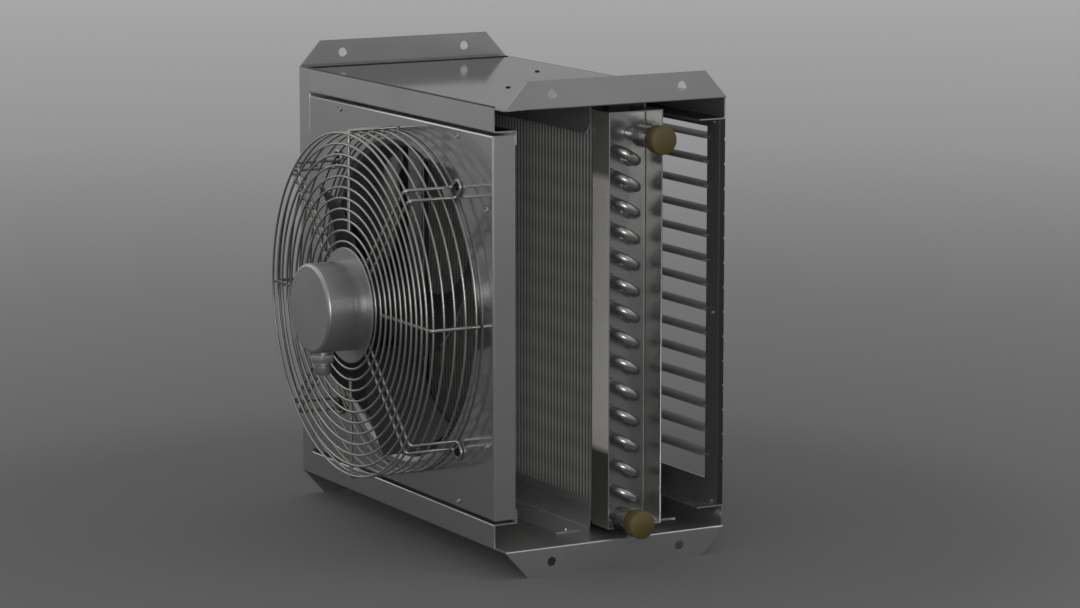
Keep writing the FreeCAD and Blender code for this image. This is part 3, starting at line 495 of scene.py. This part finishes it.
guard = {
    "firstRing": 74.0, "ringPitch": 12.5, "ringCount": 11, "ringWire": 1.4, "ringPlane": -66.0,
    "ringSeat": 1.35,  # how far from the rings' middle the spokes and supports touch them
    "sidePlane": -58.0, "sidePitch": 13.6, "sideCount": 5,
    "spokeAngles": (0, 90, 180, 270), "spokeWire": 2.15, "spokeStart": 84.5, "spokeBend": 3.0,
    "supportAngles": (45, 135, 225, 315), "supportWire": 2.0, "supportSpacing": 14.5, "supportStart": 57.0,
    "supportReach": 204.0, "supportBend": 4.5, "eyeReach": 214.0, "eyeTurn": 75, "eyeStep": 15,
    "screwRadius": 4.7, "screwHeight": 5.2,
}
guard["lastRing"] = guard["firstRing"] + (guard["ringCount"] - 1) * guard["ringPitch"]


def addRing(bm, radius, along, wire):
    centre = fanPoint(0, 0, along)
    made = bmesh.ops.create_circle(bm, segments=10, radius=wire * mm)
    bmesh.ops.translate(bm, verts=made["verts"], vec=centre + Vector((radius * mm, 0, 0)))
    edges = list({edge for vert in made["verts"] for edge in vert.link_edges})
    steps = max(60, int(radius * 0.6))  # a larger ring gets more steps
    bmesh.ops.spin(bm, geom=made["verts"] + edges, cent=centre, axis=Vector((0, 1, 0)),
                   dvec=Vector((0, 0, 0)), angle=2 * math.pi, steps=steps, use_merge=True)


def makeGuardRings():
    wire = guard["ringWire"]
    front = bmesh.new()
    for number in range(guard["ringCount"]):
        addRing(front, guard["firstRing"] + number * guard["ringPitch"], guard["ringPlane"], wire)
    finishPiece("guardFrontRings", front, "casing", wireSteel, ("guard_front_rings",), 60)
    side = bmesh.new()
    for number in range(guard["sideCount"]):
        addRing(side, guard["lastRing"], guard["sidePlane"] + number * guard["sidePitch"], wire)
    finishPiece("guardSideRings", side, "casing", wireSteel, ("guard_side_rings",), 60)


def makeGuardSpokes():
    wire = guard["spokeWire"]
    level = guard["ringPlane"] + guard["ringSeat"] + wire
    reach = guard["lastRing"] + guard["ringSeat"] + wire
    spokes = bmesh.new()
    for angle in guard["spokeAngles"]:
        corners = [fanPoint(guard["spokeStart"], angle, level), fanPoint(reach, angle, level),
                   fanPoint(reach, angle, -wire)]
        addWire(spokes, roundedRoute(corners, guard["spokeBend"] * mm), wire * mm)
    finishPiece("guardSpokes", spokes, "casing", wireSteel, ("guard_spokes",), 60)


def supportRoute(angle):
    # out from the motor, down to the plate, round the eye and back beside itself
    wire = guard["supportWire"]
    level = guard["ringPlane"] + guard["ringSeat"] + wire
    apart = guard["supportSpacing"] / 2
    bend = guard["supportBend"] * mm
    stops = [(guard["supportStart"], level), (guard["supportReach"], level),
             (guard["supportReach"], -wire), (guard["eyeReach"], -wire)]
    there = [fanPoint(radius, angle, along, apart) for radius, along in stops]
    back = [fanPoint(radius, angle, along, -apart) for radius, along in reversed(stops)]
    eye = []
    for degrees in range(guard["eyeTurn"], -guard["eyeTurn"] - 1, -guard["eyeStep"]):
        turn = math.radians(degrees)
        eye.append(fanPoint(guard["eyeReach"] + apart * math.cos(turn), angle, -wire, apart * math.sin(turn)))
    return roundedRoute(there, bend) + eye + roundedRoute(back, bend)


def makeGuardSupports():
    supports = bmesh.new()
    for angle in guard["supportAngles"]:
        addWire(supports, supportRoute(angle), guard["supportWire"] * mm)
    finishPiece("guardSupports", supports, "casing", wireSteel, ("guard_supports",), 60)
    softNode("guard_clips", "guardClips", wireSteel, fold=0)
    heads = bmesh.new()
    for angle in guard["supportAngles"]:
        addScrew(heads, fanPoint(guard["eyeReach"], angle, 0), (0, -1, 0), guard["screwRadius"],
                 guard["screwHeight"])
    finishPiece("guardScrews", heads, "casing", blackSteel)


makeGuardRings()
makeGuardSpokes()
makeGuardSupports()
print("guard made")

# Motor

motor = {
    "front": -115.0, "radius": 52.0, "back": -67.35, "round": 4.0, "flange": 67.0, "thick": 2.6,
    "frontEdge": 0.8, "rearEdge": 0.6, "bore": 7.0, "gap": 0.02, "faceInset": 1.0,
}
gland = {
    "radius": 10.0, "back": 17.0, "drop": 78.0, "top": -49.0, "nutEdge": 0.7,
    "outline": ((-6.0, 0.8), (-5.5, 0.0), (-2.0, 0.0), (0.0, 2.5), (0.0, 11.0), (-1.0, 11.6), (-1.0, 12.6),
                (0.0, 13.0)),  # past the radius, and above the lower end
}


def makeMotor():
    bm = bmesh.new()
    front, edge, radius, back = motor["front"], motor["round"], motor["radius"], motor["back"]
    profile = [(axisRadius, front), (radius - edge - motor["faceInset"], front)]
    profile += arcProfile(radius - edge, front + edge, edge, -90, 0, 8)
    profile += [(radius, back - motor["gap"]), (axisRadius, back - motor["gap"])]
    addTurned(bm, profile, fanPoint(0, 0, 0), "Y", 96)
    finishPiece("motorHousing", bm, "casing", motorSteel, ("motor_housing",), 40)
    bm = bmesh.new()
    rim, bore, rear = motor["flange"], motor["bore"], back + motor["thick"]
    profile = [(bore, back), (rim - motor["frontEdge"], back), (rim, back + motor["frontEdge"]),
               (rim, rear - motor["rearEdge"]), (rim - motor["rearEdge"], rear), (bore, rear), (bore, back)]
    addTurned(bm, profile, fanPoint(0, 0, 0), "Y", 96)
    finishPiece("motorFlange", bm, "casing", motorSteel, ("motor_flange",), 40)


def makeGland():
    centre = Vector((fanX, plateY + (motor["front"] + gland["back"]) * mm, fanZ))
    profile = [(gland["radius"] + past, up - gland["drop"]) for past, up in gland["outline"]]
    profile.append((gland["radius"], gland["top"]))
    bm = bmesh.new()
    addTurned(bm, profile, centre, "Z", 40)
    finishPiece("cableGland", bm, "casing", motorSteel, ("cable_gland",), 40)
    bm = cadCopy("gland_nut")
    softenEdges(bm, gland["nutEdge"] * mm, 40, 2)
    finishPiece("glandNut", bm, "casing", motorSteel, ("gland_nut",), 40)


makeMotor()
makeGland()

# Fan

fan = {
    "hub": 52.0, "front": -56.0, "length": 54.0, "wall": 2.0, "round": 4.0, "inside": 5.0, "bore": 6.0,
    "boss": 12.0, "bossLength": 34.0, "dish": 20.0, "dishRim": 22.0, "dishDepth": 1.0,
    "tip": 176.0, "count": 5, "thick": 2.0, "middle": -14.0, "camber": 0.1, "rootSink": 1.0,
    "leastRadius": 60.0,  # nearer the hub, a step aside turns the blade as it does here
    "lean": (0.0, -8.0, 26.0), "half": (31.0, 42.0, 54.0), "pitch": (48.0, 34.0, 25.0),  # hub, middle, tip
    "shaftEdge": 0.5,
}


def alongBlade(values, share):
    # a smooth curve through the values at the hub, half way and at the tip
    low, mid, high = values
    return (low * 2 * (share - 0.5) * (share - 1) - mid * 4 * share * (share - 1)
            + high * 2 * share * (share - 0.5))


def makeFanBlades():
    bm = bmesh.new()
    root = fan["hub"] - fan["rootSink"]
    for number in range(fan["count"]):
        made = bmesh.ops.create_grid(bm, x_segments=14, y_segments=12, size=0.5)
        for vert in made["verts"]:
            share = vert.co.x + 0.5
            along = vert.co.y * 2
            half = alongBlade(fan["half"], share)
            pitch = math.radians(alongBlade(fan["pitch"], share))
            radius = root + share * (fan["tip"] - root)
            camber = fan["camber"] * half * (1 - along * along)
            step = along * half
            y = fan["middle"] + step * math.sin(pitch) + camber * math.cos(pitch)
            aside = alongBlade(fan["lean"], share) + step * math.cos(pitch) - camber * math.sin(pitch)
            turn = math.degrees(aside / max(radius, fan["leastRadius"]))
            vert.co = fanPoint(radius, 360 * number / fan["count"] + turn, y)
    bmesh.ops.recalc_face_normals(bm, faces=bm.faces)
    bmesh.ops.solidify(bm, geom=bm.faces[:], thickness=fan["thick"] * mm)
    return bm


def makeFan():
    bm = makeFanBlades()
    front, wall, radius, bore, edge = fan["front"], fan["wall"], fan["hub"], fan["bore"], fan["round"]
    back = front + fan["length"]
    bossEnd = front + fan["bossLength"]
    dish = front + fan["dishDepth"]
    profile = [(bore, dish), (fan["dish"], dish), (fan["dishRim"], front)]
    profile += arcProfile(radius - edge, front + edge, edge, -90, 0, 5)
    profile += [(radius, back), (radius - wall, back), (radius - wall, front + fan["inside"]),
                (radius - wall - edge, front + wall), (fan["boss"], front + wall), (fan["boss"], bossEnd),
                (bore, bossEnd), (bore, dish)]
    addTurned(bm, profile, fanPoint(0, 0, 0), "Y", 72)
    finishPiece("fanImpeller", bm, "fan", bladeBlack, ("impeller",), 40)
    for node, piece in (("hub_nut", "hubNut"), ("motor_shaft", "motorShaft")):
        bm = cadCopy(node)
        softenEdges(bm, fan["shaftEdge"] * mm, 40, 2)
        finishPiece(piece, bm, "fan", tubeSteel, (node,), 40)


makeFan()
print("motor and fan made")

# Coil

coil = {
    "tube": 6.0, "pitch": 30.0, "count": 15, "rowGap": 26.0, "sheetReach": 208.5, "stub": 4.0, "leg": 5.0,
    "bendShare": 0.999,  # just under half the way between two tubes, so a bend's arcs don't meet
    "socket": 6.7, "socketBack": 1.0, "socketReach": 3.5,
    "collar": 7.6, "collarHeight": 1.6, "collarHole": 6.05,
}
frontRowY = tubesLow[1] + coil["tube"] * mm
rearRowY = frontRowY + coil["rowGap"] * mm
lowestZ = tubesLow[2] + coil["tube"] * mm
halfPitch = coil["pitch"] / 2


def tubePlace(side, row, number, out=0.0):
    # centre of a tube's end, with out in millimetres beyond the tube sheet
    z = lowestZ + (number * coil["pitch"] + (halfPitch if row else 0)) * mm
    return Vector((fanX + side * (coil["sheetReach"] + out) * mm, rearRowY if row else frontRowY, z))


def makeTubes():
    bm = bmesh.new()
    for row in (0, 1):
        for number in range(coil["count"]):
            route = [tubePlace(-1, row, number, coil["stub"]), tubePlace(1, row, number, coil["stub"])]
            addWire(bm, route, coil["tube"] * mm, 4)
    finishPiece("coilTubes", bm, "casing", tubeSteel, ("coil_tubes",), 60)


def addBend(bm, start, end, side):
    # a half turn from one tube to another, with a short socket on each leg
    out = Vector((side, 0, 0))
    half = (end - start).length / 2
    leg = coil["leg"] * mm
    corners = [start, start + out * (leg + half), end + out * (leg + half), end]
    addWire(bm, roundedRoute(corners, half * coil["bendShare"], 12), coil["tube"] * mm, 4)
    for place in (start, end):
        socket = [place - out * coil["socketBack"] * mm, place + out * coil["socketReach"] * mm]
        addWire(bm, socket, coil["socket"] * mm, 4)


def makeBends():
    near = bmesh.new()
    far = bmesh.new()
    stub = coil["stub"]
    for number in range(coil["count"]):
        addBend(far, tubePlace(-1, 0, number, stub), tubePlace(-1, 1, number, stub), -1)
        if number:
            addBend(near, tubePlace(1, 0, number, stub), tubePlace(1, 1, number - 1, stub), 1)
    finishPiece("nearReturnBends", near, "casing", tubeSteel, ("near_return_bends",), 60)
    finishPiece("farReturnBends", far, "casing", tubeSteel, ("far_return_bends",), 60)


def makeCollars():
    # the punched collars that the tubes pass through in both tube sheets
    bm = bmesh.new()
    wide = coil["collar"]
    for side in (-1, 1):
        tall = side * coil["collarHeight"]
        profile = [(wide, 0), (wide - 0.5, tall * 0.7), (wide - 1, tall), (coil["collarHole"], tall)]
        for row in (0, 1):
            for number in range(coil["count"]):
                addTurned(bm, profile, tubePlace(side, row, number), "X", 20)
    finishPiece("tubeCollars", bm, "casing", coilSheet, (), 50)


connection = {
    "bead": 7.2, "beadBack": 2.0, "beadFront": 0.5, "union": 12.5, "unionEdge": 2.0,
    "end": 16.0, "endHole": 12.4, "endEdge": 0.6, "tipEdge": 0.7,
}


def makeConnections():
    stubs = bmesh.new()
    unions = bmesh.new()
    ends = bmesh.new()
    tube, union, end = coil["tube"], connection["union"], connection["end"]
    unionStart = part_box("connection_unions")[0][0]
    endLow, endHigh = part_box("connection_ends")
    for row, number in ((0, 0), (1, coil["count"] - 1)):
        start = tubePlace(1, row, number)
        meet = (unionStart - start.x) / mm
        stop = (endLow[0] - start.x) / mm
        tip = (endHigh[0] - start.x) / mm
        addTurned(stubs, [(tube, 0), (tube, meet - connection["beadBack"]),
                          (connection["bead"], meet + connection["beadFront"])], start, "X", 32)
        addTurned(unions, [(tube, meet), (union - connection["unionEdge"], meet),
                           (union, meet + connection["unionEdge"]), (union, stop)], start, "X", 40)
        addTurned(ends, [(connection["endHole"], stop), (end - connection["endEdge"], stop),
                         (end, stop + connection["endEdge"]), (end, tip - connection["tipEdge"]),
                         (end - connection["tipEdge"], tip), (axisRadius, tip)], start, "X", 48)
    finishPiece("connectionStubs", stubs, "casing", tubeSteel, ("connection_stubs",), 50)
    finishPiece("connectionUnions", unions, "casing", tubeSteel, ("connection_unions",), 50)
    finishPiece("connectionEnds", ends, "casing", brass, ("connection_ends",), 50)


makeTubes()
makeBends()
makeCollars()
makeConnections()
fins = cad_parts["coil_fins"]
fins.data.materials.clear()
fins.data.materials.append(finMetal)
print("coil made")

# Louvres

louvre = {"count": 14, "edge": 0.5, "edgeAngle": 20, "smoothAngle": 25}


def makeLouvreBlade(number):
    node = "louvre_blade_{:02d}".format(number)
    bm = cadCopy(node)
    softenEdges(bm, louvre["edge"] * mm, louvre["edgeAngle"], 2)
    finishPiece("louvreBlade{:02d}".format(number), bm, "louvre_{:02d}".format(number), louvreSteel,
                (node,), louvre["smoothAngle"])


for number in range(1, louvre["count"] + 1):
    makeLouvreBlade(number)
print("louvres made")

# Screws

screws = {
    "plate": ((148, 208.5), (217, 133.5)),  # across and up from the fan axis, in all four corners
    "floorAcross": (-197, 0, 197), "floorAlong": (112, 236), "sheetHead": (3.0, 2.0), "floorLift": 1.2,
    "frameAcross": (-247, 247), "frameUp": (-219.5, 0, 218.5), "frameAlong": 276.4, "frameHead": (2.2, 1.6),
    "roof": ((-76, 227), (58, 114)), "roofHead": (3.2, 1.2), "roofLift": 1.5,
}


def screwPlace(across, along, up):
    return Vector((fanX + across * mm, plateY + along * mm, fanZ + up * mm))


def makeScrews():
    bm = bmesh.new()
    for across, up in screws["plate"]:
        for side in (-1, 1):
            for level in (-1, 1):
                addScrew(bm, screwPlace(side * across, 0, level * up), (0, -1, 0), *screws["sheetHead"])
    for across in screws["floorAcross"]:
        for along in screws["floorAlong"]:
            place = screwPlace(across, along, 0)
            place.z = floorZ + screws["floorLift"] * mm
            addScrew(bm, place, (0, 0, 1), *screws["sheetHead"])
    for across in screws["frameAcross"]:
        for up in screws["frameUp"]:
            addScrew(bm, screwPlace(across, screws["frameAlong"], up), (0, -1, 0), *screws["frameHead"])
    finishPiece("casingScrews", bm, "casing", wireSteel, (), 50)
    bm = bmesh.new()
    for across, along in screws["roof"]:
        place = screwPlace(across, along, 0)
        place.z = roofZ + screws["roofLift"] * mm
        addScrew(bm, place, (0, 0, 1), *screws["roofHead"])
    finishPiece("roofScrews", bm, "casing", blackSteel, (), 50)


makeScrews()
print("screws made")

# Studio, with the camera's place in millimetres and the rest in metres

studio = {
    "floorHalf": 40.0, "paint": 0.135, "floorRough": 0.9, "floorGloss": 0.05, "sky": 0.5, "glowReach": 8.0,
    "glow": ((0.0, 0.01), (0.075, 0.018), (0.1, 0.04), (0.22, 0.085), (0.466, 0.214), (0.6, 0.25),
             (0.88, 0.307)),  # share of the reach, and tone
}
view = {
    "place": (3913.4, -2095.9, 1017.2), "azimuth": 60.825, "elevation": 9.565, "focalPixels": 3848.3,
    "imageWidth": 1080.0, "sensor": 36.0,
}
lamps = {
    "topLamp": {"place": (-1.0, -0.8, 3.2), "target": (0, 0, 0.3), "size": (2.6, 2.6), "power": 7.0},
    "leftLamp": {"place": (-2.2, -1.6, 1.3), "target": (0, 0, 0.3), "size": (1.8, 1.6), "power": 6.0},
    "rightLamp": {"place": (1.8, 1.9, 2.6), "target": (0, 0, 0.3), "size": (1.6, 1.6), "power": 6.0},
    "sideLamp": {"place": (2.3, -1.1, 0.75), "target": (0.15, 0.05, 0.28), "size": (0.9, 0.9), "power": 16.0},
}


def addGlow(nodes, links):
    # the far floor reads paler to the camera and in reflections, and lights nothing
    place = nodes.new("ShaderNodeTexCoord")
    away = nodes.new("ShaderNodeVectorMath")
    away.operation = "LENGTH"
    links.new(place.outputs["Object"], away.inputs[0])
    share = addRange(nodes, links, away.outputs["Value"], 0.0, studio["glowReach"], 0.0, 1.0)
    ramp = nodes.new("ShaderNodeValToRGB")
    while len(ramp.color_ramp.elements) < len(studio["glow"]):
        ramp.color_ramp.elements.new(0.5)
    for element, (spot, tone) in zip(ramp.color_ramp.elements, studio["glow"]):
        element.position = spot
        element.color = (tone, tone, tone, 1)
    links.new(share, ramp.inputs["Fac"])
    path = nodes.new("ShaderNodeLightPath")
    seen = nodes.new("ShaderNodeMath")
    seen.operation = "MAXIMUM"
    links.new(path.outputs["Is Camera Ray"], seen.inputs[0])
    links.new(path.outputs["Is Glossy Ray"], seen.inputs[1])
    return ramp.outputs["Color"], seen.outputs["Value"]


def floorMaterial():
    material, nodes, links = newMaterial("floorPaint")
    colour, strength = addGlow(nodes, links)
    shader = nodes["Principled BSDF"]
    shader.inputs["Base Color"].default_value = (studio["paint"], studio["paint"], studio["paint"], 1)
    shader.inputs["Roughness"].default_value = studio["floorRough"]
    shader.inputs["Specular IOR Level"].default_value = studio["floorGloss"]
    links.new(colour, shader.inputs["Emission Color"])
    links.new(strength, shader.inputs["Emission Strength"])
    return material


def makeStudio():
    bm = bmesh.new()
    bmesh.ops.create_grid(bm, x_segments=1, y_segments=1, size=studio["floorHalf"])
    mesh = bpy.data.meshes.new("studioFloor")
    bm.to_mesh(mesh)
    bm.free()
    floor = bpy.data.objects.new("studioFloor", mesh)
    bpy.context.scene.collection.objects.link(floor)
    floor.data.materials.append(floorMaterial())
    world = bpy.data.worlds.new("studioSky")
    bpy.context.scene.world = world
    world.use_nodes = True
    sky = world.node_tree.nodes["Background"]
    sky.inputs["Color"].default_value = (1, 1, 1, 1)
    sky.inputs["Strength"].default_value = studio["sky"]


def addLamp(name, lamp):
    light = bpy.data.lights.new(name, "AREA")
    light.shape = "RECTANGLE"
    light.size, light.size_y = lamp["size"]
    light.energy = lamp["power"]
    holder = bpy.data.objects.new(name, light)
    bpy.context.scene.collection.objects.link(holder)
    holder.location = lamp["place"]
    aim = Vector(lamp["target"]) - Vector(lamp["place"])
    holder.rotation_euler = aim.to_track_quat("-Z", "Y").to_euler()


def makeCamera():
    data = bpy.data.cameras.new("photoCamera")
    data.sensor_width = view["sensor"]
    data.lens = view["focalPixels"] / view["imageWidth"] * view["sensor"]
    camera = bpy.data.objects.new("photoCamera", data)
    bpy.context.scene.collection.objects.link(camera)
    camera.location = Vector(view["place"]) * mm
    camera.rotation_euler = (math.radians(90 - view["elevation"]), 0, math.radians(view["azimuth"]))
    bpy.context.scene.camera = camera


makeStudio()
for name, lamp in lamps.items():
    addLamp(name, lamp)
makeCamera()
bpy.context.scene.view_settings.view_transform = "Standard"

print("studio ready")
